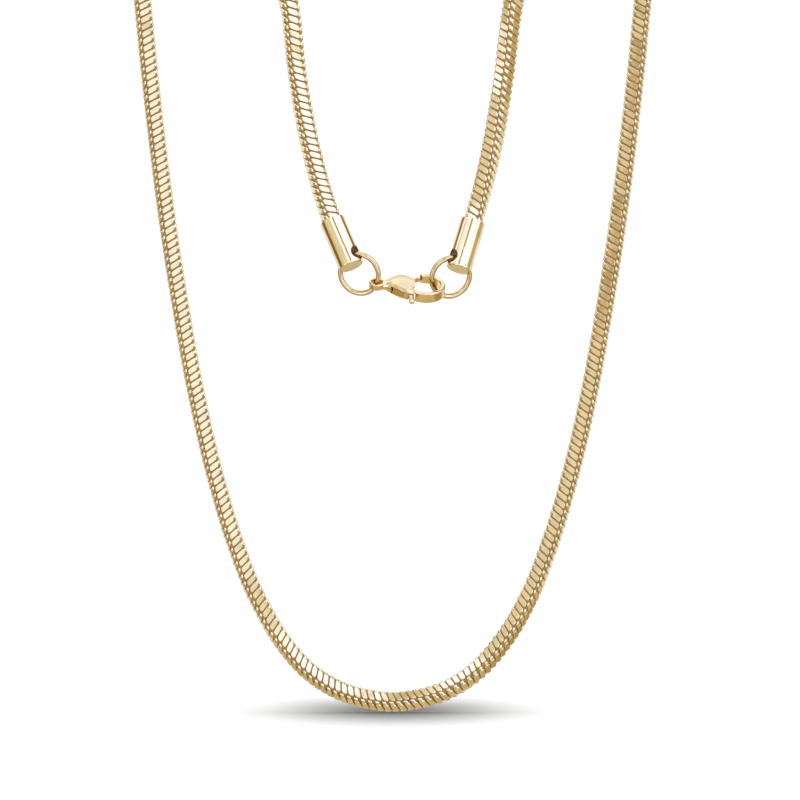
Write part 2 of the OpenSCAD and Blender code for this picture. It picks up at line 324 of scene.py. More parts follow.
# The plating's colour drifts between these shares of itself, and polishing lines vary its roughness
# from the first share to the sum of both and stand out by a share of their depth
DRIFT_DEEP, DRIFT_PALE = 0.9, 1.07
ROUGH_LEAST, ROUGH_MORE = 0.7, 0.6
LINE_BUMP, LINE_DEPTH = 0.015, 0.02 * MM
# How often the drift and the lines repeat in a metre: on smooth pieces, on links and on matt insides
SMOOTH, LINKED, MATT = (350.0, 9000.0), (700.0, 9000.0), (350.0, 4000.0)
MATT_ROUGHNESS, LINKS_ROUGHER = 0.55, 1.2
WIRE_SHARES, CAST_SHARES = (0.82, 0.73, 0.55), (0.97, 0.91, 0.8)
MATERIALS = {}


def gold_material(name, colour, roughness, scales, metallic=1.0):
    """Plating whose colour drifts a little, with fine polishing lines."""
    material = bpy.data.materials.new(name)
    look = Look(material)
    place = look.node("ShaderNodeTexCoord", output=3)
    drift, fine = (
        look.node("ShaderNodeTexNoise", None, {"Vector": place, "Scale": scale, "Detail": detail})
        for scale, detail in zip(scales, (2.0, 3.0))
    )
    deep = [c * DRIFT_DEEP for c in colour]
    pale = [min(1, c * DRIFT_PALE) for c in colour]
    tint = look.mix(look.between(drift, 0.3, 0.7), (*deep, 1), (*pale, 1))
    rough = roughness * (ROUGH_LEAST + fine * ROUGH_MORE)
    bump = look.node("ShaderNodeBump", None, {"Height": fine, "Strength": LINE_BUMP, "Distance": LINE_DEPTH})
    surface = {"Base Color": tint, "Metallic": metallic, "Roughness": rough, "Normal": bump}
    shader = look.node("ShaderNodeBsdfPrincipled", None, surface)
    look.finish("ShaderNodeOutputMaterial", shader)
    return material


def gold(kind):
    """The plating's material of one kind, made once.

    The caps are polished, the rings wire, the clasp cast and the chain links. Lining is the caps' matt
    inside, and shaded is the matt core between the links, coloured dark as painted shade in the gaps.
    """
    if kind not in MATERIALS:
        colours = bpy.context.scene.necklace_gold
        colour, rough = colours.polished, colours.roughness
        wire = [c * share for c, share in zip(colour, WIRE_SHARES)]
        cast = [c * share for c, share in zip(colour, CAST_SHARES)]
        kinds = {
            "polished": ("polished_gold", colour, rough, SMOOTH),
            "wire": ("wire_gold", wire, rough, SMOOTH),
            "cast": ("cast_gold", cast, rough, SMOOTH),
            "links": ("link_gold", colour, rough * LINKS_ROUGHER, LINKED),
            "lining": ("lining_gold", colour, MATT_ROUGHNESS, MATT, 0.0),
            # Painted shade: the core's dark matt colour stands in for the shade deep between the links
            "shaded": ("shaded_gold", colours.shaded, MATT_ROUGHNESS, MATT, 0.0),
        }
        MATERIALS[kind] = gold_material(*kinds[kind])
    return MATERIALS[kind]


# Lie of the clasp, rings and caps, as in the part's source: worked out from the clasp outwards

CLASP_LENGTH = 12.5
HOOK_R = 3.3
HOOK_BAND = 0.8
HOOK_WIDE = 1.8
EYE_R = 1.25
EYE_BAND = 0.45
EYE_WIDE = 1.1
EYE_SLOT = 0.75
BODY_THICK = 2.4
LEVER_THICK = 0.9
PIN_D = 0.6
BALL_D = 0.95
BALL_OUT = 1.1
SLOT_GAP = 0.1
PIN_GAP = 0.03
CLASP_AT = np.array([2.4, -33.2, -72.5])
CLASP_TURN = (33, 4.4, 0)
# Left and right: turns of the rings, where they touch the clasp (angle round the ring and offset across
# the clasp) and the caps (angle, offset inwards and off the ring's plane), and turns of caps and holes
SIDES = ("left", "right")
RINGS = ((90 + 16, 0, -20.2), (90 + 18.6, 0, 21))
SEATS = ((-31.6, 0.13), (207.7, 0.87))
HOLDS = ((121, 0.14, 0.25), (64.5, 0.11, 0.37))
CAPS = ((-17.5, -23, 0), (-17.5, 16.9, 0))
HOLE_TURNS = (60, -60)
CAP_HOLE_D = 2.5
CAP_HOLE_UP = 1.6
CAP_FLOOR = 0.3
CAP_GAP = 0.05
CHAIN_CORNER = 0.6
HOOK_X = CLASP_LENGTH - EYE_R - HOOK_R
HOOK_MID = np.array([HOOK_X, 0])
HOOK_MID_R = HOOK_R - HOOK_BAND / 2
# Play between each ring and the eye or hook that it hangs in
EYE_PLAY, HOOK_PLAY = 0.35, 0.8


def lie():
    """Places of the eye, the two rings, and the holes of the two caps."""
    sizes = bpy.context.scene.necklace_findings
    wire, ring_r = sizes.ring_wire / MM, (sizes.ring_outside - sizes.ring_wire) / 2 / MM
    eye = CLASP_AT - turned([CLASP_LENGTH / 2 - EYE_R, 0, 0], CLASP_TURN)
    eye_seat = wire / 2 + EYE_BAND - EYE_R + EYE_PLAY
    hook_seat = HOOK_X + HOOK_R - HOOK_BAND - wire / 2 - HOOK_PLAY
    rings, holes = [], []
    for seat, along, ring, hold in zip(SEATS, (eye_seat, hook_seat), RINGS, HOLDS):
        held = eye + turned([along, seat[1], 0], CLASP_TURN)
        centre = held - turned([*at_angle(ring_r, seat[0]), 0], ring)
        rings.append(centre)
        holes.append(centre + turned([*at_angle(ring_r - hold[1], hold[0]), hold[2]], ring))
    return eye, rings, holes


def in_cap(hole, lean, up):
    """Point on a cap's middle line at a height above its closed end."""
    return hole + turned([0, 0, up - CAP_HOLE_UP], lean)


# Route of the chain's centre line: across, to the front, up, and the turn of the first flat. In the
# photograph the links lean one way on the left of the front loop and the other way elsewhere, and
# their ball ends change sides out of the picture, over the neck: LEAN and BALL say so row by row.

LEFT_BACK = [[-12.9, -28.3, -51.7, 126], [-15.5, -26.2, -38.5, 126], [-17.1, -24.5, -25.3, 126]]
LEFT_ARCH = [
    [-21.5, -21, -12.5, 118], [-28.8, -10.6, -2.5, 101], [-36, 3.6, 1.5, 82],
    [-41.3, 18, -1.2, 60], [-43.6, 29, -10, 44],
]
# Half of the front loop: across, up, and the turn on the left and on the right
FRONT = [
    [42.8, -22.5, 43, 38], [42.1, -30, 42.5, 38], [40.5, -45, 42, 37], [38.6, -60, 42, 37],
    [36.3, -75, 42, 37], [33.6, -90, 41.5, 37], [30.1, -105, 41.5, 37], [27.1, -115, 42, 34],
    [23.1, -125, 43, 30], [19, -132, 43, 25.5], [14.1, -137.5, 42.5, 20], [9, -140.7, 40.5, 21.5],
    [4.4, -142.1, 35, 22.5],
]
FRONT_Y = 33
FRONT_LOW = [0, FRONT_Y, -142.6, 27]
RIGHT_ARCH = [
    [43.6, 29, -10, 45], [41.5, 18, -1.2, 52], [36.6, 3.6, 1.5, 60],
    [30.3, -10.6, -2.5, 66], [23.9, -21, -12.5, 70],
]
RIGHT_BACK = [[20, -24.5, -25.3, 70], [18.2, -26.2, -38.5, 63], [15.9, -28.3, -51.7, 46]]
# The first flat faces this point where its turn is 0
LOOP_MID = np.array([1.5, 2, -68])
LEFT_END_TURN, RIGHT_END_TURN = 126, 28
LEAN_LEFT_ARCH, LEAN_LOW = [-1, -1, 1, 1, 1], [1, 0.6, -0.6]
BALL_LEFT_ARCH, BALL_RIGHT_ARCH = [1, 1, -1, -1, -1], [-1, -1, -1, 1, 1]


def route():
    """Rows of the route from the left cap, over the left side, round the front, to the right cap.

    Each row ends with the links' lean, from -1 to 1 of the full slant, and with the side of their ball
    ends: -1 on the side that the columns are counted from, 1 on the other.
    """
    _, _, holes = lie()
    cap = bpy.context.scene.necklace_findings.cap_length / MM
    end = cap - bpy.context.scene.necklace_chain.in_cap / MM
    left = [[*in_cap(holes[0], CAPS[0], up), LEFT_END_TURN] for up in (end, cap)]
    right = [[*in_cap(holes[1], CAPS[1], up), RIGHT_END_TURN] for up in (cap, end)]
    down = [[-x, FRONT_Y, z, a] for x, z, a, _ in FRONT]
    up = [[x, FRONT_Y, z, a] for x, z, _, a in reversed(FRONT)]
    rows = left + LEFT_BACK + LEFT_ARCH + down + [FRONT_LOW] + up + RIGHT_ARCH + RIGHT_BACK + right
    back, half = len(left + LEFT_BACK), len(down) + 1
    rest = len(up) - len(LEAN_LOW) + len(RIGHT_ARCH + RIGHT_BACK + right)
    lean = [-1] * back + LEAN_LEFT_ARCH + [1] * half + LEAN_LOW + [-1] * rest
    ball = [1] * back + BALL_LEFT_ARCH + [-1] * (half + len(up)) + BALL_RIGHT_ARCH + [1] * back
    return np.column_stack([rows, lean, ball])


class Course:
    """The centre line by length: a cubic between each two rows.

    Its slope at a row weighs the two chords that meet there by their lengths.
    """

    STEPS = 48

    def __init__(self, rows):
        points, traits = rows[:, :3], rows[:, 3:]
        chords = np.diff(points, axis=0)
        length = np.linalg.norm(chords, axis=1)[:, None]
        units = chords / length
        slopes = np.empty_like(points)
        slopes[0], slopes[-1] = units[0], units[-1]
        slopes[1:-1] = (units[1:] * length[:-1] + units[:-1] * length[1:]) / (length[1:] + length[:-1])
        t = (np.arange(self.STEPS) / self.STEPS)[None, :, None]
        place = cubic(
            points[:-1, None], points[1:, None], (slopes[:-1] * length)[:, None],
            (slopes[1:] * length)[:, None], t,
        )
        blend = traits[:-1, None] * (1 - t) + traits[1:, None] * t
        self.place = np.vstack([place.reshape(-1, 3), points[-1]])
        self.turn, self.lean, self.ball = np.vstack([blend.reshape(-1, traits.shape[1]), traits[-1]]).T
        step = np.linalg.norm(np.diff(self.place, axis=0), axis=1)
        self.length_at = np.append(0, np.cumsum(step))
        self.length = self.length_at[-1]
        self.heading = np.gradient(self.place, self.length_at, axis=0)

    def at(self, s):
        """Place, heading, normal of the first flat and normal of the second flat at lengths s."""
        def along(table):
            return np.stack([np.interp(s, self.length_at, table[:, i]) for i in range(3)], -1)

        place, heading = along(self.place), along(self.heading)
        heading /= np.linalg.norm(heading, axis=-1, keepdims=True)
        inward = LOOP_MID - place
        inward -= (inward * heading).sum(-1, keepdims=True) * heading
        inward /= np.linalg.norm(inward, axis=-1, keepdims=True)
        side = np.cross(heading, inward)
        a = np.radians(np.interp(s, self.length_at, self.turn))[..., None]
        first = inward * np.cos(a) + side * np.sin(a)
        second = side * np.cos(a) - inward * np.sin(a)
        return place, heading, first, second


# The chain's links: four columns of slanted bars on a core coloured dark as painted shade

# Stations along a bar from its ball end to its rolled end. Each row is the distance over the flat and
# round the corner, the half width as a share of the bar's own, the share of that which is the
# polished face, and how far the crown, the shoulders and the rims lie below that face.
BAR_BALL = np.array([
    [-1.61, 0.62, 0.40, 0.15, 0.24, 0.42], [-1.42, 0.90, 0.42, 0.02, 0.13, 0.42],
    [-1.16, 0.82, 0.42, 0.01, 0.12, 0.42], [-0.93, 0.76, 0.40, 0.10, 0.18, 0.42],
])
BAR_BLUNT = np.array([
    [-1.01, 0.40, 0.40, 0.18, 0.26, 0.42], [-0.97, 0.50, 0.40, 0.12, 0.22, 0.42],
    [-0.90, 0.66, 0.40, 0.06, 0.18, 0.42], [-0.80, 0.82, 0.40, 0.03, 0.15, 0.42],
])
BAR_REST = np.array([
    [-0.72, 0.94, 0.56, 0.00, 0.09, 0.40], [-0.50, 1.00, 0.78, 0.00, 0.06, 0.36],
    [0.50, 1.00, 0.78, 0.00, 0.06, 0.36], [0.72, 0.94, 0.56, 0.00, 0.09, 0.40],
    [0.90, 0.72, 0.42, 0.06, 0.18, 0.42],
])
BALL_TIP, BLUNT_TIP = 1.70, 1.04
TIP_FALL = 0.38
SHOULDER = 0.55
POLISHED_ROWS = (4, 7)
ACROSS = 6
CORE_HALF = 1.20
# Links of neighbouring columns stand this share of a pitch to each side of their place, and each
# polished face is tilted at random by slopes of about this size
STAGGER, SWAY, SWAY_SEED = 0.25, 0.006, 7


def bar_shape(ball, half_width):
    """Every bar in the chain's unrolled surface, as arrays of bars by points.

    Across the chain a point lies at q, along the chain at f b(q) from the bar's middle line, and below
    the polished face at a depth; f is the share across the bar and b its half width. The ball end is
    full size where the ball value is -1 or 1, dwindles to a rolled end in between, and the bar is
    turned end for end where the value is above 0.
    """
    size = np.clip(4 * np.abs(ball), 0, 1)[:, None, None]
    ends = BAR_BALL * size + BAR_BLUNT * (1 - size)
    rest = np.broadcast_to(BAR_REST, (len(ball), *BAR_REST.shape))
    q, width, face, crown, shoulder, rim = np.moveaxis(np.concatenate([ends, rest], 1), -1, 0)
    knee, full = face + SHOULDER * (1 - face), np.ones_like(face)
    share = np.stack([-full, -knee, -face, face, knee, full], -1)
    along = share * (width * half_width)[..., None]
    depth = np.stack([rim, shoulder, crown, crown, shoulder, rim], -1)
    q = np.broadcast_to(q[..., None], share.shape)
    tip = BALL_TIP * size[..., 0] + BLUNT_TIP * (1 - size[..., 0])
    bars, turn = len(ball), np.where(ball > 0, -1, 1)[:, None]
    q = np.concatenate([q.reshape(bars, -1), -tip, 0 * tip + BLUNT_TIP], 1) * turn
    along = np.concatenate([along.reshape(bars, -1), 0 * tip, 0 * tip], 1) * turn
    depth = np.concatenate([depth.reshape(bars, -1), 0 * tip + TIP_FALL, 0 * tip + TIP_FALL], 1)
    return q, along, depth


def bar_faces():
    """Quads round one bar, triangles at its tips, and which pairs of its points are sharp edges."""
    rows = len(BAR_BALL) + len(BAR_REST)
    n = rows * ACROSS
    quads = grid_faces(rows, ACROSS)
    first, last = POLISHED_ROWS
    low, high = ACROSS // 2 - 1, ACROSS // 2
    loop = [r * ACROSS + low for r in range(first, last + 1)]
    loop += [r * ACROSS + high for r in range(last, first - 1, -1)]
    sharp = np.zeros((n + 2, n + 2), bool)
    sharp[loop, np.roll(loop, -1)] = True
    return quads, end_fans(n, ACROSS), sharp | sharp.T


def bar_places(course, column, starts, sizes, sway):
    """Points of all bars of one column, as an array of bars by points by three."""
    lean = np.interp(starts, course.length_at, course.lean)[:, None] * math.tan(sizes.slant)
    ball = np.interp(starts, course.length_at, course.ball)
    q, along, depth = bar_shape(ball, (sizes.pitch - sizes.gap) / 2 / MM)
    flat, half = sizes.flat / 2 / MM, sizes.over_links / 2 / MM
    radius = half - flat
    bend = np.maximum(np.abs(q) - flat, 0) / radius
    across = np.sign(q) * (np.minimum(np.abs(q), flat) + (radius - depth) * np.sin(bend))
    out = half - radius + (radius - depth) * np.cos(bend)
    place, _, first, second = course.at(starts[:, None] + lean * q + along)
    a = math.radians(90 * column)
    normal = first * math.cos(a) + second * math.sin(a)
    side = second * math.cos(a) - first * math.sin(a)
    rise = out + sway[:, :1] * across + sway[:, 1:] * along
    return place + across[..., None] * side + rise[..., None] * normal


def link_mesh(course, sizes):
    """All bars of the four columns, which lean the same way; neighbours are half a pitch apart."""
    pitch = sizes.pitch / MM
    count = int((course.length - 2 * BALL_TIP) / pitch)
    first = (course.length - (count - 1) * pitch) / 2
    draw = np.random.default_rng(SWAY_SEED)
    points = []
    for column in range(4):
        starts = first + pitch * (np.arange(count) + (STAGGER if column % 2 else -STAGGER))
        sway = draw.normal(0, SWAY, (count, 2))
        points.append(bar_places(course, column, starts, sizes, sway))
    points = np.concatenate(points)
    bars, per_bar, _ = points.shape
    quads, tips, sharp = bar_faces()
    offset = per_bar * np.arange(bars)[:, None, None]
    faces = [(quads[None] + offset).reshape(-1, 4), (tips[None] + offset).reshape(-1, 3)]
    mesh = merged(mesh_from("snake_chain_links", points.reshape(-1, 3), faces), 1e-9)
    pairs = np.empty(2 * len(mesh.edges), np.int32)
    mesh.edges.foreach_get("vertices", pairs)
    pairs = pairs.reshape(-1, 2) % per_bar
    mesh.edges.foreach_set("use_edge_sharp", sharp[pairs[:, 0], pairs[:, 1]])
    return mesh


def core_mesh(course, columns=16, step=1.2):
    """Rounded square core: at angle c its half width is CORE_HALF / (cos^6 + sin^6)^(1/6)."""
    s = np.linspace(0, course.length, int(course.length / step))
    place, _, first, second = course.at(s)
    c = np.arange(columns) / columns * 2 * math.pi
    radius = CORE_HALF / (np.cos(c) ** 6 + np.sin(c) ** 6) ** (1 / 6)
    x, y = (radius * np.cos(c))[:, None], (radius * np.sin(c))[:, None]
    return closed_tube(place[:, None] + x * first[:, None] + y * second[:, None])


class NECKLACE_OT_chain(Operator):
    """Builds the chain's links and the core behind them, coloured dark as painted shade in the gaps"""

    bl_idname = "necklace.chain"
    bl_label = "Snake chain"

    def execute(self, context):
        course = Course(route())
        links = link_mesh(course, context.scene.necklace_chain)
        piece("snake_chain_links", links, gold("links"), replaces=["snake_chain"])
        # The core is coloured dark as painted shade, seen in the gaps between the links
        core = mesh_from("snake_chain_core", *core_mesh(course))
        piece("snake_chain_core", merged(core, 1e-9), gold("shaded"))
        return {"FINISHED"}


# End caps

CAP_ROUND_STEPS = 5
HOLE_SIDE_STEPS, HOLE_TOP_STEPS, HOLE_RINGS = 10, 32, 7
HOLE_PATCH_TOP = 3.6
# Angle on a hole's rim from which a line runs to a corner of its box, and how the rings crowd to the rim
HOLE_CORNER, HOLE_CROWD = 35, 1.5
RIM_ROUND, LINING_OVER = 0.05, 0.02
CREASE, BODY_CREASE = 30, 28


def cap_bore(chain):
    """Radius of a cap's bore, which the chain's corners just clear."""
    half = chain.width / 2 / MM
    return math.hypot(half, half - CHAIN_CORNER) + CAP_GAP


def hole_patch(radius, low, high, hole_r, up):
    """Wall of a tube round one hole, as a grid from the hole's rim to a box on the unrolled wall.

    The rim at angle a is where sideways = hole_r cos a and height = up + hole_r sin a; the box goes a
    quarter turn to each side and from low to high. Each line of the grid joins the two.
    """
    v, h = HOLE_SIDE_STEPS, HOLE_TOP_STEPS
    side, top = np.arange(v) / v, np.arange(h) / h
    quarter = math.pi / 2
    box_turn = np.concatenate([np.full(v, 1.0), 1 - 2 * top, np.full(v, -1.0), -1 + 2 * top]) * quarter
    tall = high - low
    box_up = np.concatenate([low + tall * side, np.full(h, high), high - tall * side, np.full(h, low)])
    c = HOLE_CORNER
    angle = np.concatenate([2 * c * side - c, (180 - 2 * c) * top + c])
    angle = np.radians(np.concatenate([angle, angle + 180]))
    rim_turn = np.arcsin(hole_r * np.cos(angle) / radius)
    rim_up = up + hole_r * np.sin(angle)
    share = (np.linspace(0, 1, HOLE_RINGS) ** HOLE_CROWD)[:, None]
    turn = rim_turn[None] * (1 - share) + box_turn[None] * share
    height = rim_up[None] * (1 - share) + box_up[None] * share
    return turn, height, 2 * (v + h)


def cap_mesh(cap, sizes, chain):
    """An end cap on its closed end: two walls with two holes, a rounded lower edge and an open rim."""
    bore = cap_bore(chain)
    outer = bore + sizes.cap_wall / MM
    edge, length = sizes.cap_edge / MM, sizes.cap_length / MM
    hole_r = CAP_HOLE_D / 2
    points, faces, rims, total = [], [], [], 0

    def add(radius, turn, height):
        nonlocal total
        radius = np.broadcast_to(radius, turn.shape)
        points.append(np.stack([radius * np.sin(turn), radius * np.cos(turn), height], -1).reshape(-1, 3))
        total += turn.size
        return total - turn.size

    for radius, low in ((outer, edge), (bore, CAP_FLOOR)):
        turn, height, around = hole_patch(radius, low, HOLE_PATCH_TOP, hole_r, CAP_HOLE_UP)
        for half in (0, math.pi):
            start = add(radius, turn + half, height)
            faces.append(grid_faces(HOLE_RINGS, around, start=start))
            rims.append(start + np.arange(around))
    for a, b in ((rims[0], rims[2]), (rims[1], rims[3])):
        faces.append(np.stack([a, np.roll(a, -1), np.roll(b, -1), b], -1))

    turns = np.arange(2 * HOLE_TOP_STEPS) / HOLE_TOP_STEPS * math.pi - math.pi / 2
    rows = [
        (outer, HOLE_PATCH_TOP), (outer, length - 4 * RIM_ROUND), (outer, length - RIM_ROUND),
        (outer - RIM_ROUND * 0.3, length - RIM_ROUND * 0.3), (outer - RIM_ROUND, length),
        (bore + RIM_ROUND, length), (bore, length - RIM_ROUND), (bore, length - 4 * RIM_ROUND),
        (bore, HOLE_PATCH_TOP),
    ]
    start = total
    for radius, height in rows:
        add(radius, turns, np.full(len(turns), height))
    faces.append(grid_faces(len(rows), len(turns), start=start))

    bend = np.linspace(0, math.pi / 2, CAP_ROUND_STEPS + 1)
    for lower in (
        [(outer - edge + edge * math.cos(b), edge - edge * math.sin(b)) for b in bend]
        + [((outer - edge) * share, 0.0) for share in (0.97, 0.6, 0.3)],
        [(bore * share, CAP_FLOOR) for share in (1, 0.6, 0.3)],
    ):
        start = total
        for radius, height in lower:
            add(radius, turns, np.full(len(turns), height))
        faces.append(grid_faces(len(lower), len(turns), start=start))
        points.append(np.array([[0.0, 0.0, lower[-1][1]]]))
        faces.append(fan_faces(total, start + (len(lower) - 1) * len(turns) + np.arange(len(turns))))
        total += 1

    points = np.concatenate(points)
    hole, lean, hole_turn = cap
    points = turned(points, (0, 0, hole_turn))
    return turned(points - np.array([0, 0, CAP_HOLE_UP]), lean) + hole, faces


def lined(mesh, cap, chain):
    """Gives the matt lining to all faces of a cap that are no farther from its middle line than its bore."""
    hole, lean, _ = cap
    mesh.materials.append(gold("lining"))
    centre = np.empty(3 * len(mesh.polygons), np.float32)
    mesh.polygons.foreach_get("center", centre)
    middle = turned([0, 0, 1], lean)
    off = centre.reshape(-1, 3) / MM - hole
    up = off @ middle
    away = np.linalg.norm(off - up[:, None] * middle, axis=1)
    inside = (away < cap_bore(chain) + LINING_OVER) & (up > CAP_FLOOR / 2 - CAP_HOLE_UP)
    mesh.polygons.foreach_set("material_index", inside.astype(np.int32))


class NECKLACE_OT_end_caps(Operator):
    """Builds the two polished end caps with their cross holes"""

    bl_idname = "necklace.end_caps"
    bl_label = "End caps"

    def execute(self, context):
        _, _, holes = lie()
        for side, *cap in zip(SIDES, holes, CAPS, HOLE_TURNS):
            name = "end_cap_" + side
            made = cap_mesh(cap, context.scene.necklace_findings, context.scene.necklace_chain)
            mesh = creased(merged(mesh_from(name + "_polished", *made)), CREASE)
            piece(name + "_polished", mesh, gold("polished"), replaces=[name], even=True)
            lined(mesh, cap, context.scene.necklace_chain)
        return {"FINISHED"}


# Jump rings


def ring_mesh(centre, lean, ring_r, wire_r, around=144, section=24):
    """A closed ring: a circle of the wire's radius carried round a circle, turned and put in place."""
    a = np.arange(around)[:, None] / around * 2 * math.pi
    b = np.arange(section)[None] / section * 2 * math.pi
    radius = ring_r + wire_r * np.cos(b)
    points = np.stack([radius * np.cos(a), radius * np.sin(a), wire_r * np.sin(b) + 0 * a], -1)
    faces = grid_faces(around, section, wrap_rows=True)
    return turned(points.reshape(-1, 3), lean) + centre, [faces]


class NECKLACE_OT_jump_rings(Operator):
    """Builds the two round wire jump rings"""

    bl_idname = "necklace.jump_rings"
    bl_label = "Jump rings"

    def execute(self, context):
        sizes = context.scene.necklace_findings
        wire_r, ring_r = sizes.ring_wire / 2 / MM, (sizes.ring_outside - sizes.ring_wire) / 2 / MM
        _, centres, _ = lie()
        for side, centre, lean in zip(SIDES, centres, RINGS):
            name = "jump_ring_" + side
            mesh = merged(mesh_from(name + "_polished", *ring_mesh(centre, lean, ring_r, wire_r)))
            piece(name + "_polished", mesh, gold("wire"), replaces=[name])
        return {"FINISHED"}


# Lobster clasp. It lies along X from its eye, with +Y to the gate's side and Z through it.

# Body stations: share of its length, half widths on the ball's and the gate's side, half thickness,
# as shares of the hook's radius and of half the body's thickness
BODY_TABLE = np.array([
    [0.00, 0.24, 0.24, 0.44], [0.10, 0.30, 0.30, 0.50], [0.20, 0.37, 0.42, 0.66],
    [0.32, 0.47, 0.58, 0.84], [0.45, 0.60, 0.71, 0.96], [0.58, 0.73, 0.76, 1.00],
    [0.70, 0.84, 0.73, 1.00], [0.82, 0.92, 0.62, 0.97], [0.92, 0.96, 0.48, 0.90],
    [1.00, 0.96, 0.36, 0.82],
])
BODY_X0 = EYE_SLOT + 0.25
BODY_X1 = HOOK_X - HOOK_R / 2 - 0.05
BULGE, DOME = 0.2, 0.17
HOOK_FROM, HOOK_TO = -142, 108
PIVOT = np.array([HOOK_X - HOOK_R + 0.05, 0.65])
HUB_R = 0.8
GATE_FROM, GATE_TO = 112, 158
# The gate is joined to the lever's neck here
GATE_ROOT = HOOK_MID + at_angle(HOOK_MID_R, GATE_TO - 6)
GATE_BAND = 0.75
GATE_REACH = 3.12
BALL = np.array([PIVOT[0] + 1.25, -HOOK_R - BALL_OUT])
TAIL_W = 0.6
LEVER_OPEN = 25
# The eye's shanks run this far into the body and are drawn together by this share
EYE_REACH, EYE_DRAW = 1.75, 0.7
# The lever's spine closes the slot in the body's ball side: directions from the pivot and its reach
# in each, a little under the body's surface
SPINE = ([198, 210, 222, 231, 246, 259, 270, 284], [2.50, 2.75, 2.85, 2.88, 2.90, 3.04, 3.33, 3.50])
SPINE_FROM, SPINE_TO = 200, 284
# Directions between which the hook's tip is cut away for the gate's end, and how deep
TIP_FROM, TIP_TO, TIP_DEEP = 28, 60, 0.6
# Roundings of the sections of hook, gate, eye and lever, and how narrow the hook gets at its tip
HOOK_ROUND, GATE_ROUND, EYE_ROUND, BAR_ROUND = 0.22, 0.18, 0.2, 0.15
HOOK_TAPER, TAPER_FROM = 0.84, 0.35
ROUND_SIDES = 64


def left_of(start, end):
    """Direction across the line from one flat point to another, to its left."""
    x, y = (end - start) / np.linalg.norm(end - start)
    return np.array([-y, x])


def smooth_table(table, share):
    """Columns of a table at any share of its length, by cubics through its rows."""
    x, values = table[:, 0], table[:, 1:]
    slope = np.gradient(values, x, axis=0)
    i = np.clip(np.searchsorted(x, share, side="right") - 1, 0, len(x) - 2)
    d = (x[i + 1] - x[i])[:, None]
    t = ((share - x[i]) / d[:, 0])[:, None]
    return cubic(values[i], values[i + 1], slope[i] * d, slope[i + 1] * d, t)


def body_surface(rows=44, over=15, wall=9):
    """The clasp's drop-shaped body: a domed face above and below, and bulging side walls between them.

    The dome's height is h (1 - DOME y^2) over the share y of its half width. A side wall at height z
    stands out to w (1 - BULGE (z / h)^2).
    """
    share = np.linspace(0, 1, rows)
    near, far, thick = smooth_table(BODY_TABLE, share).T
    near, far, thick = near * HOOK_R, far * HOOK_R, thick * BODY_THICK / 2
    x = BODY_X0 + (BODY_X1 - BODY_X0) * share
    y = np.linspace(-1, 1, over)
    z = np.linspace(1, -1, wall)[1:-1]
    edge = 1 - BULGE
    face_y = np.where(y < 0, near[:, None] * edge * y, far[:, None] * edge * y)
    face_z = thick[:, None] * (1 - DOME * y**2)
    wall_z = thick[:, None] * (1 - DOME) * z
    far_y = far[:, None] * (1 - BULGE * z**2)
    near_y = -near[:, None] * (1 - BULGE * z**2)
    loop_y = np.concatenate([face_y, far_y, face_y[:, ::-1], near_y[:, ::-1]], 1)
    loop_z = np.concatenate([face_z, wall_z, -face_z[:, ::-1], wall_z[:, ::-1]], 1)
    loop_x = np.broadcast_to(x[:, None], loop_y.shape)
    return closed_tube(np.stack([loop_x, loop_y, loop_z], -1))


def band_loop(band, width, corner, count=8):
    """Closed section of a band: a rectangle with rounded corners, band across and width through."""
    a = np.linspace(0, math.pi / 2, count)
    quarter = np.stack([np.cos(a), np.sin(a)], -1) * corner
    loop = []
    for k, (sx, sy) in enumerate(((1, 1), (-1, 1), (-1, -1), (1, -1))):
        c, s = math.cos(k * math.pi / 2), math.sin(k * math.pi / 2)
        bend = quarter @ np.array([[c, s], [-s, c]])
        loop.append(bend + [sx * (band / 2 - corner), sy * (width / 2 - corner)])
    return np.concatenate(loop)


def band_along(centre, outward, loops):
    """Sections of a band carried along a flat path, whose loops give offset outwards and up."""
    x = centre[:, None, 0] + outward[:, None, 0] * loops[..., 0]
    y = centre[:, None, 1] + outward[:, None, 1] * loops[..., 0]
    return np.stack([x, y, loops[..., 1]], -1)


def arc_band(radius, start, end, band, width, corner, steps=72, taper=1.0):
    """Band bent round the hook's middle from one angle to another; its width may taper to the end."""
    a = np.radians(np.linspace(start, end, steps))
    out = np.stack([np.cos(a), np.sin(a)], -1)
    share = np.clip((np.linspace(0, 1, steps) - TAPER_FROM) / (1 - TAPER_FROM), 0, 1)
    loops = np.stack([band_loop(band, width * (1 + (taper - 1) * t), corner) for t in share])
    return closed_tube(band_along(HOOK_MID + radius * out, out, loops))


def eye_surface(steps=40, shank=14):
    """The eye: a rounded band that comes from inside the body, goes round half a circle and returns.

    Each shank's distance from the middle line falls by (3 t^2 - 2 t^3) of EYE_DRAW on its way in.
    """
    radius = EYE_R - EYE_BAND / 2
    a = np.radians(np.linspace(90, 270, steps))
    t = np.linspace(1, 0, shank, endpoint=False)
    away = radius * (1 - EYE_DRAW * (3 * t**2 - 2 * t**3))
    reach = EYE_REACH * t
    centre = np.vstack([
        np.stack([reach, away], -1), radius * np.stack([np.cos(a), np.sin(a)], -1),
        np.stack([reach, -away], -1)[::-1],
    ])
    ahead = np.gradient(centre, axis=0)
    ahead /= np.linalg.norm(ahead, axis=1, keepdims=True)
    out = np.stack([ahead[:, 1], -ahead[:, 0]], -1)
    loops = np.repeat(band_loop(EYE_BAND, EYE_WIDE, EYE_ROUND)[None], len(centre), 0)
    return closed_tube(band_along(centre, out, loops))


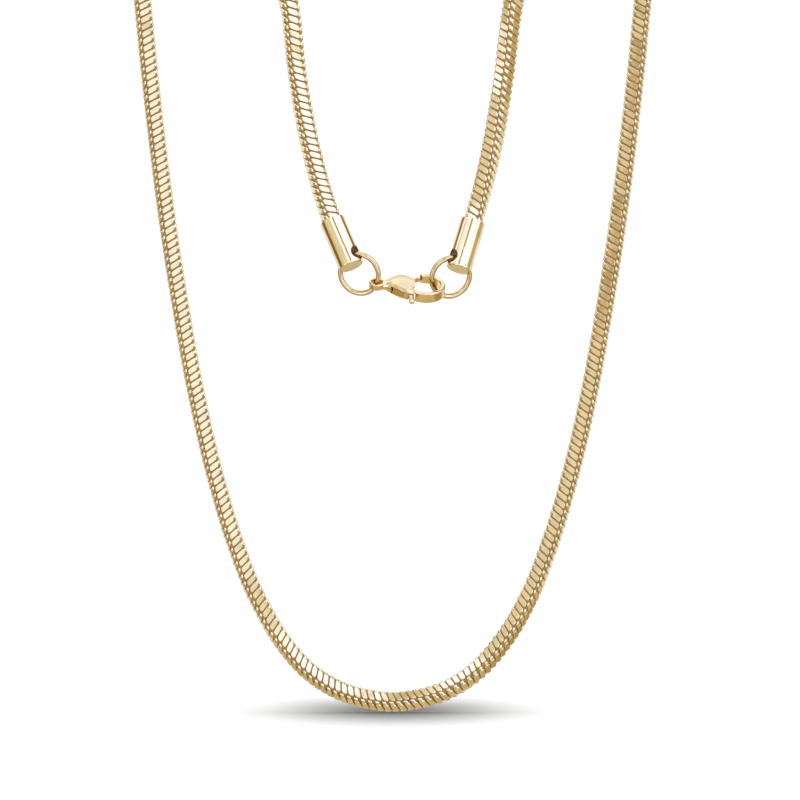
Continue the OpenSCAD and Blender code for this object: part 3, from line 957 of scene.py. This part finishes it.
def slab(outline, low, high):
    """A flat outline, given counter-clockwise, as a closed slab between two heights."""
    n = len(outline)
    levels = np.stack([np.column_stack([outline, np.full(n, z)]) for z in (low, high)])
    faces = [grid_faces(2, n), np.arange(n)[::-1][None], n + np.arange(n)[None]]
    return levels.reshape(-1, 3), faces


def circle(centre, radius, count):
    a = np.arange(count) / count * 2 * math.pi
    return np.asarray(centre) + radius * np.stack([np.cos(a), np.sin(a)], -1)


def spine(low, high, more=0.0, opened=0):
    """Rim of the lever's spine between two directions from the pivot, with the lever at rest or opened."""
    angles = np.linspace(low, high, max(2, int((high - low) / 3)))
    reach = np.interp(angles, *SPINE) + more
    return [PIVOT + at_angle(r, a - opened) for r, a in zip(reach, angles)]


def lever_room():
    """Outline of the pocket for the lever at rest, open and on the way."""
    step = 10
    over = (HOOK_MID_R + GATE_BAND / 2 + SLOT_GAP) / math.cos(math.radians(step / 2))
    side = left_of(PIVOT, GATE_ROOT)
    right = BODY_X1 + 0.3
    arc = [HOOK_MID + at_angle(over, a) for a in range(GATE_TO - 4 * step, GATE_TO - step + 1, step)]
    return np.array([
        PIVOT + at_angle(HUB_R + SLOT_GAP, 165),
        *spine(SPINE_FROM - 2, SPINE_TO, SLOT_GAP, LEVER_OPEN),
        PIVOT + at_angle(1.3 * HOOK_R, SPINE_TO - LEVER_OPEN - 1),
        [BALL[0] + TAIL_W / 2 + SLOT_GAP, BALL[1]],
        [right, -HOOK_R / 2],
        [right, arc[0][1]],
        *arc,
        GATE_ROOT + side * (GATE_BAND / 2 + SLOT_GAP),
        PIVOT + side * (HUB_R + SLOT_GAP),
    ])


def tip_room():
    """Outline of what is cut from the hook's tip, so that the gate's end clears it."""
    outer = [PIVOT + at_angle(GATE_REACH + SLOT_GAP, a) for a in range(TIP_FROM, TIP_TO + 1, 4)]
    inner = [PIVOT + at_angle(GATE_REACH - TIP_DEEP, a) for a in range(TIP_TO, TIP_FROM - 1, -8)]
    return np.array(outer + inner)


def clasp_part(name, made):
    """Closed mesh of one surface of the clasp, put in its place."""
    points, faces = made
    return merged(mesh_from(name, turned(points, CLASP_TURN) + lie()[0], faces))


def lever_surfaces():
    """The lever's gate, neck, hub, tail, spine and ball, as closed surfaces that run into each other."""
    gate = arc_band(HOOK_MID_R, GATE_TO, GATE_FROM, GATE_BAND, LEVER_THICK, GATE_ROUND, steps=28)
    hub = slab(circle(PIVOT, HUB_R, ROUND_SIDES), -LEVER_THICK / 2, LEVER_THICK / 2)

    def bar(start, end, wide_start, wide_end, steps=12):
        share = np.linspace(0, 1, steps)[:, None]
        centre = start * (1 - share) + end * share
        wide = wide_start + (wide_end - wide_start) * share[:, 0]
        loops = np.stack([band_loop(w, LEVER_THICK, BAR_ROUND) for w in wide])
        return closed_tube(band_along(centre, np.repeat(left_of(start, end)[None], steps, 0), loops))

    neck = bar(PIVOT, GATE_ROOT, 2 * HUB_R, GATE_BAND)
    tail = bar(PIVOT, BALL, TAIL_W + 0.3, TAIL_W - 0.1)
    thick = LEVER_THICK / 2 + SLOT_GAP / 2
    plate = slab(np.array([PIVOT, *spine(SPINE_FROM, SPINE_TO)]), -thick, thick)
    a = np.linspace(0, math.pi, 21)[1:-1, None]
    b = np.arange(32)[None] / 32 * 2 * math.pi
    r = BALL_D / 2
    ball = np.stack([r * np.sin(a) * np.cos(b), r * np.sin(a) * np.sin(b), r * np.cos(a) + 0 * b], -1)
    ball = closed_tube(ball + np.array([*BALL, 0]))
    return gate, neck, hub, tail, plate, ball


class NECKLACE_OT_clasp(Operator):
    """Builds the lobster clasp's body with its eye and hook and its lever, and plates the frame's rivet"""

    bl_idname = "necklace.clasp"
    bl_label = "Lobster clasp"

    def execute(self, context):
        hook = arc_band(HOOK_MID_R, HOOK_FROM, HOOK_TO, HOOK_BAND, HOOK_WIDE, HOOK_ROUND, taper=HOOK_TAPER)
        body = combined(
            clasp_part("body", body_surface()),
            [clasp_part("eye", eye_surface()), clasp_part("hook", hook)],
            "UNION",
        )
        deep = LEVER_THICK / 2 + SLOT_GAP
        rooms = [
            clasp_part("room", slab(lever_room(), -deep, deep)),
            clasp_part("hub_room", slab(circle(PIVOT, HUB_R + SLOT_GAP, ROUND_SIDES), -deep, deep)),
            clasp_part("tip_room", slab(tip_room(), -HOOK_WIDE, HOOK_WIDE)),
        ]
        body = creased(combined(body, rooms, "DIFFERENCE"), BODY_CREASE)
        piece("clasp_body_cast", body, gold("cast"), replaces=["clasp_body"], even=True)

        parts = [clasp_part("lever", made) for made in lever_surfaces()]
        lever = combined(parts[0], parts[1:], "UNION")
        bore = slab(circle(PIVOT, PIN_D / 2 + PIN_GAP, ROUND_SIDES // 2), -LEVER_THICK, LEVER_THICK)
        lever = creased(combined(lever, [clasp_part("bore", bore)], "DIFFERENCE"), CREASE)
        piece(
            "clasp_lever_sprung", lever, gold("cast"), body=LEVER_BODY, replaces=["clasp_lever"], even=True
        )
        # The rivet stays the frame's own
        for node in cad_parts.values():
            node.data.materials.clear()
            node.data.materials.append(gold("polished"))
        return {"FINISHED"}


# Floor, soft light and camera

CAMERA_AT = (1.25 * MM, -1426 * MM, -91 * MM)
CAMERA_LENS = 384
FLOOR_HALF = 30.0
# The painted shade on the floor, a shadow drawn into its colour: how far to the front its middle lies,
# its half sizes across and to the front, and the share of the floor's colour that is left at its deepest
SHADE_Y, SHADE_HALF, SHADE_DEEP = 45 * MM, (30 * MM, 92 * MM), 0.2
# Brightness of the white that the camera and that matt surfaces see, and the share and power of a
# box's brightness that the plating shows in red, green and blue
SKY_WHITE, ROOM_WHITE = 1.1, 1.25
TONES = ((1.0, 1.0), (0.91, 1.42), (0.70, 2.5))


def studio_world(settings, plating):
    """A plain pale room with soft boxes in front and above, and dark gaps between them.

    Each box is a smooth mask of the direction's bearing from the camera's side and its height, in
    degrees. Each is painted over those before it. The plating shows a box by TONES: white where it is
    bright and a deeper gold where it is dim. The camera itself and matt surfaces see plain white.
    """
    world = bpy.data.worlds.new("soft_studio")
    look = Look(world)
    x, y, z = look.parts(look.node("ShaderNodeTexCoord", output=0))
    degrees = 180 / math.pi
    bearing = x.maths("ARCTAN2", -y) * degrees
    height = z.maths("ARCSINE") * degrees
    off = bearing.maths("ABSOLUTE")
    field = settings.room
    pale, white, dark = 1.0, settings.soft_box, settings.dark
    # Side, from, to and softness, height from, to and softness, and brightness
    boxes = (
        (off, -1, 181, 1, -91, -24, 10, 0.58),
        (off, -1, 35, 8, -18, 16, 8, pale),
        (bearing, -33, -12, 5, -12, 24, 6, 0.76),
        (bearing, 14, 36, 5, 10, 28, 4, 0.76),
        (off, 125, 181, 20, -12, 91, 12, 0.84),
        (off, 118, 181, 20, 58, 91, 10, 1.0),
        (off, -1, 90, 14, 20, 68, 9, white),
        (off, 39, 48, 4, -38, 20, 8, 1.25 * white),
        (bearing, -78, -30, 6, 9, 40, 4, 0.74),
        (bearing, 62, 69, 4, -38, 12, 8, white),
        (bearing, -8, 4, 7, 40, 60, 8, 0.36),
        (off, 112, 126, 10, 26, 56, 12, dark),
        (bearing, -106, -88, 12, -8, 8, 8, dark),
        (bearing, 84, 98, 12, -2, 12, 6, 0.5),
        (off, 60, 140, 20, -42, -22, 8, 0.42),
    )
    for side, first, last, soft, low, high, fade, level in boxes:
        mask = side.within(first, last, soft) * height.within(low, high, fade)
        field = field + mask * (level - field)
    tint = [share / c * field.maths("POWER", power) for (share, power), c in zip(TONES, plating)]
    colour = look.node("ShaderNodeCombineColor", None, tint)
    mirrored = look.node("ShaderNodeLightPath", output=3)
    seen = look.node("ShaderNodeLightPath", output=0)
    colour = look.mix(mirrored, (*[ROOM_WHITE] * 3, 1), colour)
    colour = look.mix(seen, colour, (*[SKY_WHITE] * 3, 1))
    shader = look.node("ShaderNodeBackground", None, {"Color": colour, "Strength": 1.0})
    look.finish("ShaderNodeOutputWorld", shader)
    return world


def floor_material(colour):
    """Matt pale floor with a faint even grain and a painted soft shadow under the low end of the chain."""
    material = bpy.data.materials.new("pale_floor")
    look = Look(material)
    place = look.node("ShaderNodeTexCoord", output=3)
    grain = look.node("ShaderNodeTexNoise", None, {"Vector": place, "Scale": 40.0, "Detail": 2.0})
    lighter = [min(1, c * 1.02) for c in colour]
    tint = look.mix(grain, (*colour, 1), (*lighter, 1))
    # Painted shadow: inside an ellipse under the chain's low end the floor's colour deepens to SHADE_DEEP of
    # itself
    x, y, _ = look.parts(place)
    x, y = x / SHADE_HALF[0], (y - SHADE_Y) / SHADE_HALF[1]
    away = (x * x + y * y).maths("SQRT")
    tint = look.mix(look.between(away, 0.0, 1.0), (*[c * SHADE_DEEP for c in colour], 1), tint)
    surface = {"Base Color": tint, "Roughness": 0.9, "Specular IOR Level": 0.0}
    shader = look.node("ShaderNodeBsdfPrincipled", None, surface)
    look.finish("ShaderNodeOutputMaterial", shader)
    return material


class NECKLACE_OT_stage(Operator):
    """Sets the pale floor with its painted shadow, the soft studio light and the camera"""

    bl_idname = "necklace.stage"
    bl_label = "Stage"

    def execute(self, context):
        scene = context.scene
        settings = scene.necklace_studio
        half, low = FLOOR_HALF / MM, -settings.floor_drop / MM
        corners = np.array([[x * half, y * half, low] for x, y in ((-1, -1), (1, -1), (1, 1), (-1, 1))])
        mesh = mesh_from("floor", corners, [np.array([[0, 1, 2, 3]])], smooth=False)
        mesh.materials.append(floor_material(settings.floor))
        floor = placed("floor", mesh)
        floor.visible_glossy = False
        scene.world = studio_world(settings, scene.necklace_gold.polished)
        scene.view_settings.view_transform = "Standard"
        lens = bpy.data.cameras.new("camera")
        lens.lens, lens.sensor_width = CAMERA_LENS, 36
        lens.clip_end = 100
        camera = placed("camera", lens)
        camera.location = CAMERA_AT
        camera.rotation_euler = (math.pi / 2, 0, 0)
        scene.camera = camera
        return {"FINISHED"}


class NECKLACE_PT_panel(Panel):
    """Lists the necklace's sizes, colours and builders"""

    bl_idname = "NECKLACE_PT_panel"
    bl_label = "Snake chain necklace"
    bl_space_type = "VIEW_3D"
    bl_region_type = "UI"
    bl_category = "Necklace"

    def draw(self, context):
        scene = context.scene
        for group in (
            scene.necklace_chain, scene.necklace_findings, scene.necklace_gold, scene.necklace_studio
        ):
            box = self.layout.box()
            for name in group.__annotations__:
                box.prop(group, name)
        for operator in OPERATORS:
            self.layout.operator(operator.bl_idname)


GROUPS = {
    "necklace_chain": ChainSizes,
    "necklace_findings": FindingSizes,
    "necklace_gold": GoldLook,
    "necklace_studio": StudioLook,
}
OPERATORS = (
    NECKLACE_OT_stage, NECKLACE_OT_chain, NECKLACE_OT_end_caps, NECKLACE_OT_jump_rings, NECKLACE_OT_clasp
)


def register():
    for made in (*GROUPS.values(), *OPERATORS, NECKLACE_PT_panel):
        bpy.utils.register_class(made)
    for name, group in GROUPS.items():
        setattr(bpy.types.Scene, name, PointerProperty(type=group))


def unregister():
    for name in GROUPS:
        delattr(bpy.types.Scene, name)
    for made in (NECKLACE_PT_panel, *reversed(OPERATORS), *GROUPS.values()):
        bpy.utils.unregister_class(made)


def main():
    register()
    bpy.ops.necklace.stage()
    bpy.ops.necklace.chain()
    bpy.ops.necklace.end_caps()
    bpy.ops.necklace.jump_rings()
    bpy.ops.necklace.clasp()


if __name__ == "__main__":
    main()
